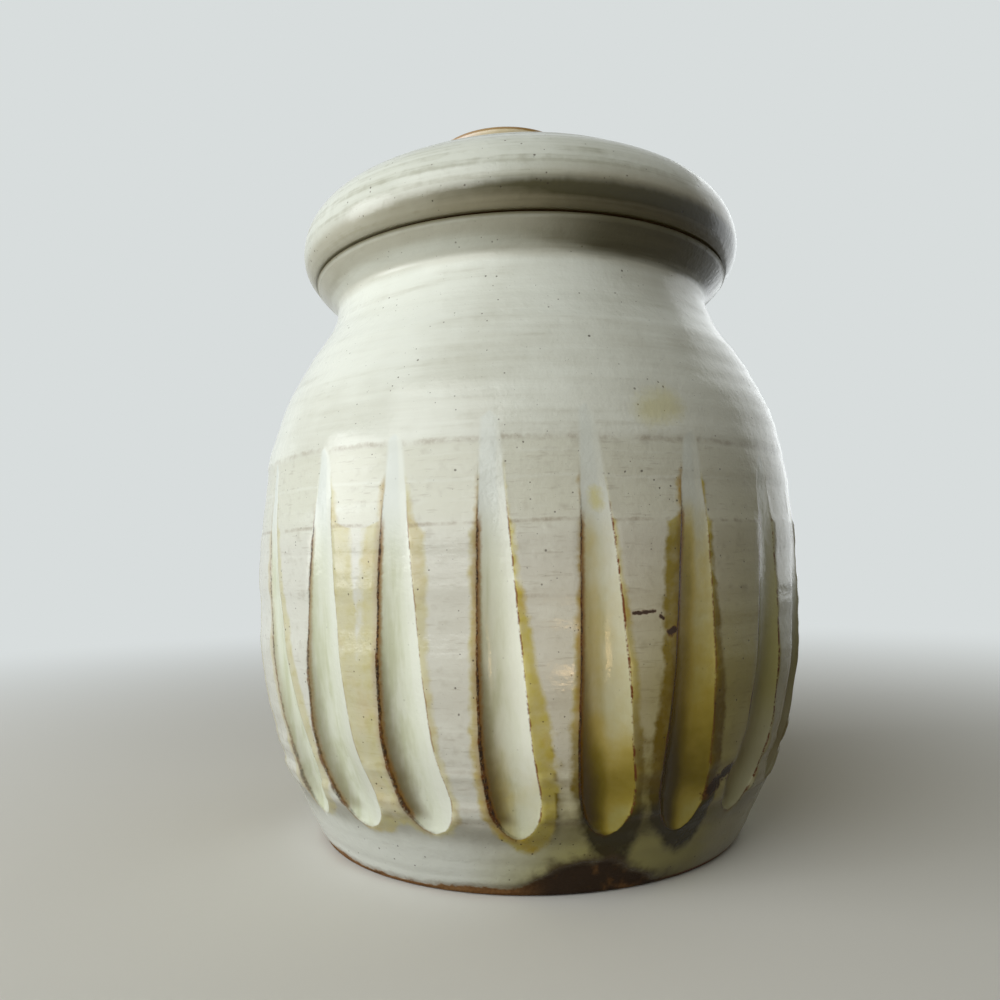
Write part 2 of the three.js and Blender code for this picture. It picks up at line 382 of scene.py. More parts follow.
def markJar(piece, spots, outline, nextOutline, near, far, outer, line):  # what the glaze follows
    turned, height, wall, radius = spots
    row, centre, half, into = outline
    nextRow, nextCentre, nextHalf, nextInto = nextOutline
    turn = np.radians(turned)
    own = near >= far
    scoop = np.maximum(near, far)
    ownRow = {word: np.where(own, row[word], nextRow[word]) for word in fluteWords}
    lean = np.radians(turned - centre) * wall / np.maximum(np.radians(half) * wall, 0.6)
    nextLean = np.radians(turned - nextCentre) * wall / np.maximum(np.radians(nextHalf) * wall, 0.6)
    lean = np.where(own, lean, nextLean)
    top = flute["haloTop"] + 0.3 * np.sin(5 * turn) + 0.3 * np.sin(13 * turn + 1)
    grow = 0.22 * smooth(top + 8, top + 6, height) + 0.78 * smooth(top + 0.5, top - 0.5, height)
    fall = smooth(58, 28, height)
    reachNear, glowNear = haloOf(outline, near, turned, grow, fall)
    reachFar, glowFar = haloOf(nextOutline, far, turned, grow, fall)
    clear = flute["clearEnd"] * smooth(20, 15, height) * smooth(-0.6, 0.4, lean) * smooth(-0.1, 0.2, scoop)
    pool = ownRow["pool"] * smooth(flute["poolTop"], flute["poolFull"], height)
    tint = ownRow["tint"] * smooth(flute["rustTop"], 58, height)
    ending = smooth(0.45, 0.95, np.where(own, into, nextInto))
    starts = smooth(flute["rustTop"], 60, height) * (1 - flute["rustFade"] * ending)
    rust = np.where(lean < 0, ownRow["leftRust"], ownRow["rightRust"]) * starts
    marks = {  # name, values on the carved wall, value elsewhere
        "scoop": (scoop, -20),
        "lean": (np.clip(lean, -1.6, 1.6), 0),
        "haloReach": (np.maximum(reachNear, reachFar), -20),
        "glow": (np.where(reachNear >= reachFar, glowNear, glowFar), 0),
        "rust": (rust, 0),
        "pool": ((pool + tint) * (1 - clear), 0),
    }
    for name, (values, absent) in marks.items():
        markPoints(piece, name, np.where(outer, values, absent))
    bare = np.where(outer, line - height, -8)
    underneath = (height < jar["footRound"]) | ((height < jar["footRecess"] + 0.1) & ~outer)
    seat = (height > jar["height"] - 0.1) & (radius > jar["neckRadius"] - jar["wall"] + 0.6)
    seat &= radius < jar["collarRadius"] - jar["rimRound"] - 0.1
    bare = np.where(underneath & ~outer, 6, bare)
    markPoints(piece, "bare", np.where(seat, 2, bare))
    rim = height > jar["height"] - jar["rimRound"] - 0.01
    rim &= radius > jar["collarRadius"] - jar["rimRound"] - 0.01
    markPoints(piece, "inside", np.where(outer | underneath | rim, 0, 1))


def carveJar(piece, wallLine):
    rows = allFlutes()
    points = pointsOf(piece)
    height = points[:, 2]
    radius = np.hypot(points[:, 0], points[:, 1])
    bearing = np.degrees(np.arctan2(points[:, 0], -points[:, 1]))
    lineHeights = [here[1] for here in wallLine]
    lineRadii = [here[0] for here in wallLine]
    wall = np.interp(height, lineHeights, lineRadii)
    outer = (np.abs(radius - wall) < 0.5) & (height >= jar["footRound"] - 0.01)
    outer &= height < jar["height"] - jar["rimRound"]

    perFlute = jar["columnsAcross"] + jar["columnsBetween"]
    pitch = 360 / flute["count"]
    column = np.rint((bearing - 90) * flute["count"] * perFlute / 360).astype(int)
    shift = round((90 + (jar["columnsAcross"] - 1) / 2 * pitch / perFlute - flute["bearing"]) / pitch)
    number = column // perFlute + shift
    step = column % perFlute
    last = jar["columnsAcross"] - 1
    onLand = step > last

    outline = fluteOutline(rows, number, height)
    nextOutline = fluteOutline(rows, number + 1, height)
    row, centre, half, into = outline
    squeeze, away, width = fluteSpan(row, half, into, height, wall)
    nextRow, nextCentre, nextHalf, nextInto = nextOutline
    nextWidth = fluteSpan(nextRow, nextHalf, nextInto, height, wall)[2]

    across = -np.cos(np.pi * step / last)  # -1 and 1 on the edges, crowded towards them
    land = (1 - np.cos(np.pi * (step - last) / (jar["columnsBetween"] + 1))) / 2
    landStart = centre + width
    landEnd = nextCentre - nextWidth
    turned = np.where(onLand, landStart + land * (landEnd - landStart), centre + across * width)

    # The gouge is deepest left of its middle, almost flush at the tip, and runs out at the round end
    bite = smooth(row["tipHeight"] - flute["tipFlush"], flute["fullDepth"], height)
    skew = flute["skew"] + flute["skewLow"] * smooth(42, 20, height)
    sunk = np.clip(2 * half * np.radians(wall) / flute["fullWidth"], 0, 1.1) ** 0.6 * squeeze ** 1.6
    sunk = flute["depth"] * bite * sunk * (1 - away.clip(0, 1))
    depth = np.where(onLand, 0, sunk * (1 - across ** 2) * (1 - skew * across))

    near = fluteDistance(*outline, turned, height, wall)
    far = fluteDistance(*nextOutline, turned, height, wall)
    scoop = np.maximum(near, far)
    landShare = np.maximum(smooth(0.2, -0.5, scoop), smooth(60, 72, height))

    turn = np.radians(turned)
    stepped = sum(rise * smooth(-run / 2, run / 2, height - at - 0.5 * np.sin(2 * turn + at))
                  for at, rise, run in ledges)
    rings = 0.05 * np.sin(height / 0.62 + 1.3 * np.sin(turn + 1)) * (0.6 + 0.4 * np.sin(height / 7 + turn))
    slow = 0.09 * np.sin(height / 1.9 + turn) + 0.06 * np.sin(height / 3.3 - turn + 2)
    collarFade = smooth(jar["neckHeight"] + 1, jar["neckHeight"] - 6, height)
    lip = flute["lip"] * np.exp(-((scoop + 0.35) / 0.6) ** 2) * smooth(72, 60, height)
    wobble = jar["wobble"] * (np.sin(2 * turn + 0.6) * 0.6 + np.sin(3 * turn + height / 40) * 0.4)
    skin = (landShare * (stepped + rings) + slow * (0.35 + 0.65 * landShare) + wobble) * collarFade + lip
    line = glazeLine(turned)
    skin -= jar["glazeThickness"] * smooth(0.25, -0.35, height - line)
    skin += 0.25 * np.exp(-((height - line - 0.7) / 0.8) ** 2)  # the glaze rolls over at its lower edge

    moved = wall + skin * smooth(0.4, 3, height) - depth
    points[outer, 0] = (moved * np.sin(turn))[outer]
    points[outer, 1] = (-moved * np.cos(turn))[outer]
    setPoints(piece, points)
    markJar(piece, (turned, height, wall, radius), outline, nextOutline, near, far, outer, line)


def makeJar():
    wallLine = wallCurve() + collarCurve()[1:]
    columns = flute["count"] * (jar["columnsAcross"] + jar["columnsBetween"])
    profile = joined(underCurve(), wallLine, hollowCurve(wallCurve()))
    piece = turnOnWheel("jar_glazed", profile, columns)
    carveJar(piece, wallLine)
    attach(piece, "jar")
    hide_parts("jar_body")
    print("jar turned and carved", len(piece.data.polygons), "faces")
    return piece


# Lid: flange, overhanging edge and dome

lid = {
    "seat": 117.3,
    "radius": lidHigh.x,
    "top": lidHigh.z,
    "flangeBottom": lidLow.z,
    "flangeOuter": 35.0,
    "flangeInner": 31.0,
    "edgeRise": 5.4,
    "underRound": 2.5,
    "flangeRound": 1.0,
    "flangeFillet": 0.6,
    "shadeRise": 3.0,  # height over the seat where the glaze thins and the painted shade under the edge begins
    "underFrom": 43.0,  # radii between which the underside begins
    "underTo": 45.0,
    "edgeRound": 10.8,
    "edgeTurn": 54.0,
    "landing": 16.7,
    "wall": 5.2,
    "columns": 260,
    "ringDepth": 0.09,
    "ringPeriod": 1.35,
    "sunkLine": 40.5,  # radius of a faint turned line inside the edge
    "wobble": 0.15,
}


def lidCurve():
    seat = lid["seat"]
    ceiling = lid["top"] - lid["wall"]
    hollow = ceiling - seat
    inner = lid["flangeInner"]
    outer = lid["flangeOuter"]
    bottom = lid["flangeBottom"]
    edge = seat + lid["edgeRise"]
    under = bezier((0, ceiling), (inner * 0.7, ceiling), (inner, ceiling - hollow * 0.25),
                   (inner, seat + hollow * 0.25), 18)
    bend = lid["flangeRound"]
    fillet = lid["flangeFillet"]
    flange = joined(straight(under[-1], (inner, bottom + bend), 4),
                    arc((inner + bend, bottom + bend), bend, bend, 180, 270, 4),
                    arc((outer - bend, bottom + bend), bend, bend, 270, 360, 4),
                    [(outer, seat - fillet)],
                    arc((outer + fillet, seat - fillet), fillet, fillet, 180, 90, 3))
    corner = lid["radius"] - lid["underRound"]
    rounded = bezier((corner, seat), (corner + 1.2, seat + 0.7),
                     (lid["radius"], edge - 2.5), (lid["radius"], edge), 16)
    over = arc((lid["radius"] - lid["edgeRound"], edge), lid["edgeRound"], lid["edgeRound"],
               0, lid["edgeTurn"], 18)
    brow = over[-1]
    turn = math.radians(lid["edgeTurn"])
    pull = (lid["top"] - brow[1]) * 0.9
    dome = bezier(brow, (brow[0] - pull * math.sin(turn), brow[1] + pull * math.cos(turn)),
                  (lid["landing"] + 0.3 * (brow[0] - lid["landing"]), lid["top"]),
                  (lid["landing"], lid["top"]), 44)
    top = straight(dome[-1], (0, lid["top"]), 6)
    return joined(under, flange, straight(flange[-1], rounded[0], 5), rounded, over, dome, top)


def makeLid():
    piece = turnOnWheel("lid_glazed", lidCurve(), lid["columns"])
    points = pointsOf(piece)
    height = points[:, 2]
    radius = np.hypot(points[:, 0], points[:, 1])
    turn = np.arctan2(points[:, 0], -points[:, 1])
    upper = height > lid["seat"] + lid["edgeRise"] - 0.01
    crown = smooth(lid["radius"] - 3, lid["radius"] - 14, radius)
    crown *= smooth(lid["landing"] - 4, lid["landing"], radius)
    rings = np.sin(2 * np.pi * radius / lid["ringPeriod"] + turn) * (0.6 + 0.4 * np.sin(radius / 3))
    slow = 0.12 * np.sin(radius / 2.3 - turn)
    lift = (lid["ringDepth"] * rings + slow) * crown
    swell = lid["wobble"] * (np.sin(2 * turn + 1) + 0.6 * np.sin(3 * turn)) * smooth(20, 46, radius)
    sunkLine = 0.18 * np.exp(-((radius - lid["sunkLine"]) / 1.2) ** 2) * upper
    points[:, 2] = height + np.where(upper, lift - sunkLine, 0)
    outside = radius > lid["flangeOuter"] + 1
    spread = np.where(outside, 1 + swell / np.maximum(radius, 1), 1)
    points[:, 0] *= spread
    points[:, 1] *= spread
    setPoints(piece, points)
    seatBare = (height < lid["seat"] + 0.1) & (radius > lid["flangeInner"] + 0.4)
    seatBare &= radius < lid["radius"] - lid["underRound"] - 0.6
    markPoints(piece, "bare", np.where(seatBare, 2, -8))
    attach(piece, "lid")
    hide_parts("lid")
    print("lid turned", len(piece.data.polygons), "faces")
    return piece


# Knob: a low dished button, a little off the middle of the lid

knob = {
    "centre": (knobLow.x + knobHigh.x) / 2,
    "base": knobLow.z,
    "radius": (knobHigh.y - knobLow.y) / 2,
    "height": knobHigh.z - knobLow.z,
    "stem": 11.5,
    "rim": 2.2,
    "dish": 0.8,
    "columns": 150,
    "wobble": 0.14,
}


def knobCurve():
    top = knob["height"]
    half = knob["rim"] / 2
    edge = arc((knob["radius"] - half, top - half), half, half, -60, 90, 12)
    low = top - knob["rim"]
    stem = bezier((knob["stem"], 0), (knob["stem"] - half, low * 0.5),
                  (knob["stem"], low * 0.8), edge[0], 14)
    dishFloor = top - knob["dish"]
    lipEnd = (knob["radius"] - 2 * knob["rim"], dishFloor)
    dish = bezier(edge[-1], (edge[-1][0] - 1.2, top), (lipEnd[0] + 1.2, lipEnd[1]), lipEnd, 9)
    floor = bezier(lipEnd, (lipEnd[0] - 3, dishFloor), (3, dishFloor + 0.2), (0, dishFloor + 0.25), 12)
    return joined(straight((0, 0), (knob["stem"], 0), 4), stem, edge, dish, floor)


def makeKnob():
    piece = turnOnWheel("knob_glazed", knobCurve(), knob["columns"])
    points = pointsOf(piece)
    height = points[:, 2]
    radius = np.hypot(points[:, 0], points[:, 1])
    turn = np.arctan2(points[:, 0], -points[:, 1])
    spread = 1 + knob["wobble"] * np.sin(2 * turn + 0.4) / knob["radius"] * smooth(2, 5, height)
    inDish = smooth(knob["radius"] - 1, knob["radius"] - 4, radius) * smooth(0.5, 2, height)
    points[:, 2] += 0.06 * np.sin(2 * np.pi * radius / 1.7 + turn) * inDish * smooth(0.5, 3, radius)
    crest = smooth(knob["height"] - 1.25, knob["height"] - 0.75, height)
    markPoints(piece, "worn", crest * smooth(knob["radius"] - 3, knob["radius"] - 1.8, radius))
    points[:, 0] = points[:, 0] * spread + knob["centre"]
    points[:, 1] *= spread
    points[:, 2] += knob["base"]
    setPoints(piece, points)
    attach(piece, "lid")
    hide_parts("lid_knob")
    print("knob turned", len(piece.data.polygons), "faces")
    return piece


# Glazes

class Wire:
    def __init__(self, tree, socket):
        self.tree = tree
        self.socket = socket

    def node(self, kind, settings=None, values=None, out=0):
        made = self.tree.nodes.new(kind)
        for name, setting in (settings or {}).items():
            setattr(made, name, setting)
        for name, value in (values or {}).items():
            if isinstance(value, Wire):
                self.tree.links.new(value.socket, made.inputs[name])
            else:
                made.inputs[name].default_value = value
        return Wire(self.tree, made.outputs[out])

    def math(self, operation, *values):
        return self.node("ShaderNodeMath", {"operation": operation}, dict(enumerate(values)))

    def __add__(self, other):
        return self.math("ADD", self, other)

    __radd__ = __add__

    def __sub__(self, other):
        return self.math("SUBTRACT", self, other)

    def __rsub__(self, other):
        return self.math("SUBTRACT", other, self)

    def __mul__(self, other):
        return self.math("MULTIPLY", self, other)

    __rmul__ = __mul__

    def __truediv__(self, other):
        return self.math("DIVIDE", self, other)

    def __abs__(self):
        return self.math("ABSOLUTE", self)

    def most(self, other):
        return self.math("MAXIMUM", self, other)

    def least(self, other):
        return self.math("MINIMUM", self, other)

    def fade(self, low, high):  # 0 at low, 1 at high, easing between
        settings = {"interpolation_type": "SMOOTHSTEP"}
        return self.node("ShaderNodeMapRange", settings, {0: self, 1: low, 2: high})

    def also(self, out):  # another output of the same node
        return Wire(self.tree, self.socket.node.outputs[out])


def paint(red, green, blue):
    def linear(value):
        share = value / 255
        return share / 12.92 if share <= 0.04045 else ((share + 0.055) / 1.055) ** 2.4
    return linear(red), linear(green), linear(blue), 1.0


def blend(mask, under, over, kind="MIX"):
    settings = {"data_type": "RGBA", "clamp_factor": True, "blend_type": kind}
    return mask.node("ShaderNodeMix", settings, {0: mask, 6: under, 7: over}, 2)


def newGlaze(name):
    made = bpy.data.materials.new(name)
    made.use_nodes = True
    tree = made.node_tree
    shader = tree.nodes["Principled BSDF"]
    coords = Wire(tree, tree.nodes.new("ShaderNodeTexCoord").outputs["Object"])
    place = coords.node("ShaderNodeVectorMath", {"operation": "SCALE"}, {0: coords, "Scale": 1 / mm})
    return made, shader, place


def mark(place, name):
    return place.node("ShaderNodeAttribute", {"attribute_name": name}, out="Fac")


def grain(place, size, detail=2.0, stretch=(1, 1, 1), offset=0.0):  # soft cloud of about that size in mm
    scale = tuple(share / size for share in stretch)
    values = {0: place, 1: scale, 2: (offset, offset, offset)}
    moved = place.node("ShaderNodeVectorMath", {"operation": "MULTIPLY_ADD"}, values)
    values = {"Vector": moved, "Scale": 1.0, "Detail": detail, "Roughness": 0.55}
    return place.node("ShaderNodeTexNoise", {}, values)


def specks(place, cell, radius, keep, fine):  # iron spots, at most that radius
    spots = place.node("ShaderNodeTexVoronoi", {}, {"Vector": place, "Scale": 1 / cell})
    chance = place.node("ShaderNodeSeparateColor", {}, {0: spots.also("Color")})
    size = chance.also(1) * (0.7 * radius / cell) + 0.3 * radius / cell
    kept = chance.math("LESS_THAN", chance, keep)
    return (spots / size + (fine - 0.5) * 1.2).fade(1.0, 0.5) * kept


def finishGlaze(made, shader, colour, rough, height):
    tree = made.node_tree
    bump = height.node("ShaderNodeBump", {}, {"Strength": 1.0, "Distance": mm, "Height": height})
    for socket, wire in (("Base Color", colour), ("Roughness", rough), ("Normal", bump)):
        tree.links.new(wire.socket, shader.inputs[socket])
    shader.inputs["IOR"].default_value = stoneware["ior"]
    shader.inputs["Specular IOR Level"].default_value = stoneware["specular"]
    return made


stoneware = {
    "thick": paint(225, 229, 221),
    "thin": paint(206, 208, 197),
    "shade": paint(182, 181, 166),
    # painted shade under the lid's edge, on the collar and in the neck crease, a lighter and a darker tone
    "under": paint(160, 153, 128),
    "underShadeDark": paint(80, 75, 46),
    "clay": paint(116, 80, 44),
    "clayPale": paint(138, 104, 66),
    "clayDark": paint(46, 31, 16),
    "speck": paint(58, 44, 28),
    "roughness": 0.17,
    "clayRoughness": 0.75,
    "ior": 1.48,
    "specular": 0.28,
}

jarColours = {
    "landLow": paint(208, 209, 200),
    "landHigh": paint(210, 212, 199),
    "landDull": paint(170, 166, 152),
    "ledge": paint(128, 106, 78),
    "lower": paint(212, 216, 209),
    # painted shade under the bottom ledge
    "lowerShade": paint(164, 164, 153),
    "celadon": paint(215, 220, 204),
    "celadonPale": paint(226, 230, 221),
    # pale celadon, also the painted light on the flutes' right walls
    "celadonDeep": paint(190, 195, 164),
    "fluteTop": paint(215, 221, 216),
    "halo": paint(188, 178, 98),
    "haloBright": paint(182, 160, 50),
    "haloGold": paint(136, 119, 14),
    "amber": paint(150, 104, 24),
    "stainAndShade": paint(104, 86, 36),
    # olive stain and painted shade on the flutes' left walls
    "rust": paint(112, 66, 20),
    "breath": paint(206, 198, 112),
    "redRust": paint(112, 62, 28),
    "darkRust": paint(48, 30, 12),
    "paleOlive": paint(202, 190, 122),
    "olive": paint(152, 140, 46),
    "darkOlive": paint(112, 101, 12),
    "puddle": paint(62, 56, 0),
    "scorched": paint(70, 54, 30),
    "dash": paint(60, 36, 14),
    "shadeKeeps": (0.6, 0.55, 0.24, 1.0),  # what the painted shade on the lower right keeps of the colour
    "inside": paint(212, 213, 201),
}

lidColours = {
    "thick": paint(215, 219, 210),
    "thin": paint(192, 195, 181),
    "shade": paint(158, 157, 139),
}

knobColours = {
    "cream": paint(216, 202, 170),
    "blush": paint(222, 205, 193),
    "amber": paint(148, 108, 40),
    "honey": paint(190, 156, 86),
}

ledgeLines = (  # height, half width, strength, how broken
    (75.6, 0.8, 0.4, 0.5),
    (72.4, 0.3, 0.15, 0.55),
    (66.2, 0.3, 0.15, 0.55),
    (62.2, 0.5, 0.45, 0.48),
    (50.7, 0.5, 0.25, 0.53),
    (42.3, 0.4, 0.15, 0.55),
    (33.0, 0.4, 0.15, 0.55),
    (23.0, 0.5, 0.2, 0.5),
    (20.3, 0.4, 0.2, 0.52),
    (16.6, 0.7, 0.22, 0.5),
    (13.8, 0.7, 0.25, 0.5),
)

paleLines = (  # height, half width, strength, how broken
    (77.4, 0.5, 0.2, 0.42),
    (73.4, 0.3, 0.25, 0.48),
    (69.3, 0.5, 0.42, 0.4),
    (57.5, 0.4, 0.2, 0.45),
    (46.3, 0.4, 0.2, 0.45),
    (38.0, 0.4, 0.22, 0.45),
    (29.5, 0.4, 0.25, 0.45),
    (22.0, 0.5, 0.4, 0.4),
    (18.6, 0.6, 0.5, 0.35),
    (15.3, 0.7, 0.6, 0.35),
)

kilnMarks = (  # start bearing, start height, end bearing, end height, half width, raggedness
    (16.8, 47.5, 20.6, 47.7, 0.24, 0.8),
    (21.4, 47.0, 22.0, 46.6, 0.24, 1.0),
    (23.3, 44.2, 24.1, 44.8, 0.42, 1.2),
    (34.4, 16.8, 39.8, 20.4, 0.9, 2.4),
)

smudges = (  # the same, for faint yellow breaths on the glaze, and their strength
    (22.5, 80.5, 26.5, 81.5, 2.6, 2.0, 0.45),
    (11.2, 66.4, 11.6, 65.0, 1.0, 1.2, 0.6),
)


def strokeMask(bearing, height, stroke, noise, soft=0.6):
    startBearing, startHeight, endBearing, endHeight, half, ragged = stroke
    perDegree = math.radians(jar["bellyRadius"])
    runAcross = (endBearing - startBearing) * perDegree
    runUp = endHeight - startHeight
    length = runAcross ** 2 + runUp ** 2
    across = (bearing - startBearing) * perDegree
    up = height - startHeight
    along = ((across * runAcross + up * runUp) / length).most(0).least(1)
    gapAcross = across - along * runAcross
    gapUp = up - along * runUp
    square = gapAcross * gapAcross + gapUp * gapUp
    away = square.math("SQRT", square) + noise * ragged
    return away.fade(half * (1 + soft / 2), half * (1 - soft / 2))


def bandLines(height, rows, wander):  # the strongest of several level lines
    lines = None
    for at, half, strength, broken in rows:
        line = abs(height - at - wander[0]).fade(half, half * 0.1) * strength
        line = line * wander[1].fade(broken - 0.1, broken + 0.12)
        lines = line if lines is None else lines.most(line)
    return lines


def clayTone(drift, fine):
    return blend((drift * 0.6 + fine * 0.4).fade(0.4, 0.65), stoneware["clay"], stoneware["clayPale"])


def glazeJar(piece):
    made, shader, place = newGlaze("jarGlaze")
    parts = place.node("ShaderNodeSeparateXYZ", {}, {0: place})
    height = parts.also(2)
    bearing = parts.math("ARCTAN2", parts, 0 - parts.also(1)) * (180 / math.pi)
    words = ("scoop", "lean", "haloReach", "glow", "rust", "pool", "bare", "inside")
    scoop, lean, haloReach, glow, rust, pool, bare, inside = (mark(place, word) for word in words)

    cloud = grain(place, 22, 3)
    drift = grain(place, 9, 3, offset=7.3)
    streak = grain(place, 1.7, 3, (0.07, 0.07, 1))
    mid = grain(place, 2.4, 2, offset=3.1)
    fine = grain(place, 0.7, 2, offset=5.7)
    crumb = grain(place, 0.42, 1, offset=1.9)
    scratch = grain(place, 0.5, 2, (0.14, 0.14, 1), 2.7)
    runs = grain(place, 1.5, 3, (1, 1, 0.07), 4.3)

    # Thick pale glaze on the shoulder, thinner below the ledge
    coatLine = jar["coatHeight"] + (drift - 0.5) * 3
    above = (height - coatLine).fade(-1.2, 1.2)
    shoulder = blend((cloud * 0.7 + streak * 0.3).fade(0.4, 0.72), stoneware["thick"], stoneware["thin"])
    shoulder = blend((streak * 0.7 + mid * 0.3).fade(0.55, 0.72) * 0.3, shoulder, stoneware["shade"])
    land = blend(height.fade(58, 66), jarColours["landLow"], jarColours["landHigh"])
    land = blend((streak * 0.5 + drift * 0.5).fade(0.5, 0.72) * 0.5, land, stoneware["thick"])
    land = blend((mid * 0.6 + streak * 0.4).fade(0.52, 0.72) * 0.4, land, jarColours["landDull"])
    land = blend(scratch.fade(0.58, 0.76) * 0.4, land, jarColours["landDull"])
    # painted shade on the lower band just under the bottom ledge
    lower = blend((height + (drift - 0.5) * 5).fade(8, 13), jarColours["lower"], jarColours["lowerShade"])
    land = blend((height + (drift - 0.5) * 2).fade(14.6, 13.0), land, lower)
    wander = ((cloud - 0.5) * 1.6 + (mid - 0.5) * 0.5, drift * 0.5 + mid * 0.5)
    onLand = scoop.fade(0.05, -0.3) * (1 - inside)
    land = blend(bandLines(height, paleLines, wander) * onLand, land, stoneware["thick"])
    skin = blend(above, land, shoulder)

    # Pale celadon in the flutes, olive where it pools and along the cut on the left, with painted shade on
    # the left wall and painted light on the right wall
    leftSide = lean.fade(0.25, -0.35)
    soft = height.fade(62, 76) * 0.35 + 0.1  # the edges are softer towards the tips
    fluted = ((scoop + (fine - 0.5) * 0.16) / soft).fade(-1, 1) * (1 - height.fade(72, 82) * 0.4)
    celadon = blend(height.fade(54, 68), jarColours["celadon"], jarColours["fluteTop"])
    deeper = (runs * 0.6 + drift * 0.4 - lean * 0.14).fade(0.42, 0.68)
    celadon = blend(deeper * height.fade(66, 50) * 0.75, celadon, jarColours["celadonDeep"])
    # paler towards the right wall: painted light where that wall faces the lamps, broken by runs of the
    # glaze
    celadon = blend((lean + (runs - 0.5) * 1.5).fade(0.1, 0.8) * 0.6, celadon, jarColours["celadonPale"])
    wet = pool * (0.64 + leftSide * 0.55) + (drift * 0.7 + mid * 0.3 - 0.5) * 0.8 * pool.fade(0, 0.4)
    celadon = blend(wet.fade(0.05, 0.55), celadon, jarColours["paleOlive"])
    celadon = blend(wet.fade(0.4, 0.95), celadon, jarColours["olive"])
    celadon = blend(wet.fade(0.85, 1.5), celadon, jarColours["darkOlive"])
    # olive where the glaze pools on the left wall, and painted shade on that wall, away from the lamps
    stainAndShade = rust.fade(0.5, 1.0) * leftSide
    spread = height.fade(52, 17)  # the stain and painted shade widen towards the round end
    fromEdge = (scoop + (mid - 0.5) * 0.9) / (spread * 3.2 + 0.6)
    celadon = blend(stainAndShade * fromEdge.fade(1.1, 0.15) * (spread * 0.5 + 0.35), celadon, jarColours["stainAndShade"])
    closeBy = (scoop + (fine - 0.5) * 0.6).fade(0.9, 0.2)
    celadon = blend(stainAndShade * closeBy * 0.75, celadon, jarColours["amber"])
    skin = blend(fluted, skin, celadon)

    # Yellow halo on the lands beside the edges
    low = (height + (mid - 0.5) * 4).fade(22, 14) * pool.fade(0.3, 0.8)
    blur = low * 0.9 + 0.6  # the puddles under the flutes end softly
    halo = (haloReach + (mid - 0.5) * 1.5 + (drift - 0.5) * 1.8 + (fine - 0.5) * 0.5) / blur
    halo = halo.fade(-0.8, 1.2) * (1 - fluted) * glow * height.fade(73, 69)
    haloTone = blend(drift.fade(0.5, 0.68), jarColours["halo"], jarColours["haloBright"])
    haloTone = blend(leftSide * scoop.fade(-1.4, -0.2) * 0.6, haloTone, jarColours["amber"])
    haloTone = blend((pool * 1.4).fade(0.3, 1.0), haloTone, jarColours["haloGold"])
    haloTone = blend(low * 0.9, haloTone, jarColours["puddle"])
    skin = blend(halo * (0.55 + mid * 0.8 + low * 0.3), skin, haloTone)

    # Rust where the glaze breaks over the edges: dark on the left, thin and dotted on the right
    thin = height.fade(44, 18) * 0.17 + drift * 0.16 + 0.09  # half width of the dark line, wider low down
    cut = (abs(scoop + (mid - 0.5) * 0.4 + (fine - 0.5) * 0.3) / thin).fade(1.3, 0.4) * leftSide
    dotted = abs(scoop + (mid - 0.5) * 0.5 + (fine - 0.5) * 0.12).fade(0.27, 0.05) * (1 - leftSide)
    dotted = dotted * (crumb * 0.25 + mid * 0.45 + drift * 0.3).fade(0.43, 0.56)
    edges = (cut * (0.45 + drift) * (crumb.fade(0.3, 0.55) * 0.5 + 0.5) + dotted * 1.2) * rust
    edgeTone = blend((fine * 0.5 + mid * 0.5).fade(0.42, 0.62), jarColours["darkRust"], jarColours["rust"])
    skin = blend(edges, skin, blend(leftSide, jarColours["redRust"], edgeTone))

    # Broken brown lines along the ledges, iron spots thickest along edges and ledges
    lines = bandLines(height, ledgeLines, wander) * onLand
    skin = blend(lines * (crumb.fade(0.2, 0.6) * 0.6 + 0.4), skin, jarColours["ledge"])
    beside = abs(scoop + 0.25).fade(0.9, 0.2) * height.fade(54, 60) * height.fade(78, 75)
    thick = 0.1 + lines * 0.6 + halo * 0.3 + beside * 0.45
    spots = specks(place, 2.3, 0.28, 0.42, fine).most(specks(place, 0.95, 0.22, thick, fine))
    spots = spots * (1 - fluted * 0.75)
    pits = specks(place, 0.6, 0.12, drift * 0.5, fine) * (1 - fluted * 0.8)
    skin = blend(spots * (0.3 + drift * 0.8) + pits * 0.3, skin, stoneware["speck"])
    noise = (mid - 0.5) + (fine - 0.5) * 0.8
    for stroke in kilnMarks:
        burnt = strokeMask(bearing, height, stroke, noise, 1.5) * (1 - inside)
        skin = blend(burnt.fade(0, 0.5) * 0.6, skin, jarColours["rust"])
        skin = blend(burnt.fade(0.35, 0.95) * 0.95, skin, jarColours["dash"])
    for smudge in smudges:
        breath = strokeMask(bearing, height, smudge[:6], noise, 1.6) * smudge[6]
        skin = blend(breath * (1 - inside), skin, jarColours["breath"])

    # Painted shade darkens and warms the lower right, the side away from the lamps
    shadeLowRight = (height - (bearing - 20) * 0.5 + (cloud - 0.5) * 16).fade(68, 26)
    shadeLowRight = shadeLowRight * (bearing + (26 - height).most(0) * 0.9 + (cloud - 0.5) * 16).fade(0, 28)
    shadeLowRight = shadeLowRight * bearing.fade(130, 85) * (1 - bearing.fade(36, 46) * height.fade(34, 22) * 0.45)
    skin = blend(shadeLowRight * (1 - inside), skin, jarColours["shadeKeeps"], "MULTIPLY")
